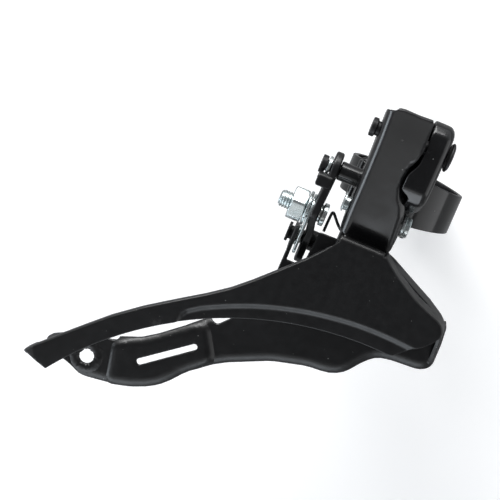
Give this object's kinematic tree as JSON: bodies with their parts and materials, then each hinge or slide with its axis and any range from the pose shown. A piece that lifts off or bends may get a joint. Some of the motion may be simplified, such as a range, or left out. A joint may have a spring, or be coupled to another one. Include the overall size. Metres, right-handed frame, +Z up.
{
  "type": "front derailleur",
  "caption": "Seat-tube clamped bicycle front derailleur: black pressed linkage and long curved chain cage, zinc cable anchor.",
  "frame": {"origin": "middle of the seat-tube clamp, on the seat tube's axis", "axes": "+Z up along the seat tube, +X towards the bicycle's front, -Y towards the chainrings"},
  "size_m": [0.1076, 0.0697, 0.1056],
  "materials": {
    "gloss_black": "glossy black paint",
    "satin_black": "satin black paint",
    "zinc": "bright zinc plating",
    "black_oxide": "black plated steel",
    "spring_steel": "drawn steel",
    "nylon": "moulded nylon"
  },
  "bodies": {
    "bracket": {"bracket": "gloss_black", "clamp_saddle": "gloss_black", "clamp_hinge_pin": "black_oxide", "saddle_rivet_upper": "black_oxide", "saddle_rivet_lower": "black_oxide", "upper_outer_pin": "black_oxide", "upper_outer_cap": "black_oxide", "upper_inner_pin": "black_oxide", "upper_inner_washer": "zinc", "upper_inner_clip": "spring_steel"},
    "clamp_band": {"clamp_band": "gloss_black", "clamp_nut": "zinc"},
    "clamp_bolt": {"clamp_bolt": "zinc"},
    "low_limit_screw": {"low_limit_screw": "black_oxide"},
    "high_limit_screw": {"high_limit_screw": "black_oxide"},
    "outer_link": {"outer_link": "gloss_black", "return_spring": "spring_steel"},
    "inner_link": {"inner_link": "satin_black", "cable_anchor_bolt": "zinc", "cable_anchor_washer": "zinc", "cable_clamp_plate": "zinc"},
    "cable_anchor_nut": {"cable_anchor_nut": "zinc"},
    "cage": {"cage_outer_plate": "satin_black", "cage_inner_plate": "satin_black", "cage_tail_spacer": "nylon", "cage_tail_screw": "black_oxide", "lower_outer_pin": "zinc", "lower_outer_washer": "zinc", "lower_outer_clip": "zinc", "lower_inner_pin": "black_oxide", "lower_inner_washer": "zinc", "lower_inner_clip": "spring_steel"}
  },
  "joints": [
    {"name": "outer_link_swing", "type": "hinge", "parent": "bracket", "child": "outer_link", "pos_m": [-0.006, -0.035, 0.0163], "axis": [-1, 0, 0], "range_deg": [0, 45], "stiffness_Nm_per_rad": 0.3, "springref_deg": -45.84, "deforming": ["return_spring"]},
    {"name": "inner_link_swing", "type": "hinge", "parent": "bracket", "child": "inner_link", "pos_m": [-0.0155, -0.022, 0.001], "axis": [-1, 0, 0], "range_deg": [0, 45]},
    {"name": "cage_pivot", "type": "hinge", "parent": "outer_link", "child": "cage", "pos_m": [-0.006, -0.0268, -0.0062], "axis": [-1, 0, 0], "range_deg": [-45, 0]},
    {"name": "clamp_band_hinge", "type": "hinge", "parent": "bracket", "child": "clamp_band", "pos_m": [-0.01322, -0.01322, 0], "axis": [0, 0, 1], "range_deg": [0, 70]},
    {"name": "clamp_bolt_turn", "type": "hinge", "parent": "bracket", "child": "clamp_bolt", "pos_m": [0.01038, 0.01951, 0], "axis": [0.8829, -0.4695, 0], "continuous": true},
    {"name": "low_limit_turn", "type": "hinge", "parent": "bracket", "child": "low_limit_screw", "pos_m": [-0.0091, -0.0255, 0.022], "axis": [0, 0, 1], "continuous": true},
    {"name": "high_limit_turn", "type": "hinge", "parent": "bracket", "child": "high_limit_screw", "pos_m": [-0.0045, -0.0255, 0.022], "axis": [0, 0, 1], "continuous": true},
    {"name": "anchor_nut_turn", "type": "hinge", "parent": "inner_link", "child": "cable_anchor_nut", "pos_m": [-0.0271, -0.0222, -0.0122], "axis": [-1, 0, 0], "continuous": true}
  ],
  "couplings": [
    {"joint": "inner_link_swing", "follows": "outer_link_swing", "ratio": 1},
    {"joint": "cage_pivot", "follows": "outer_link_swing", "ratio": -1}
  ]
}
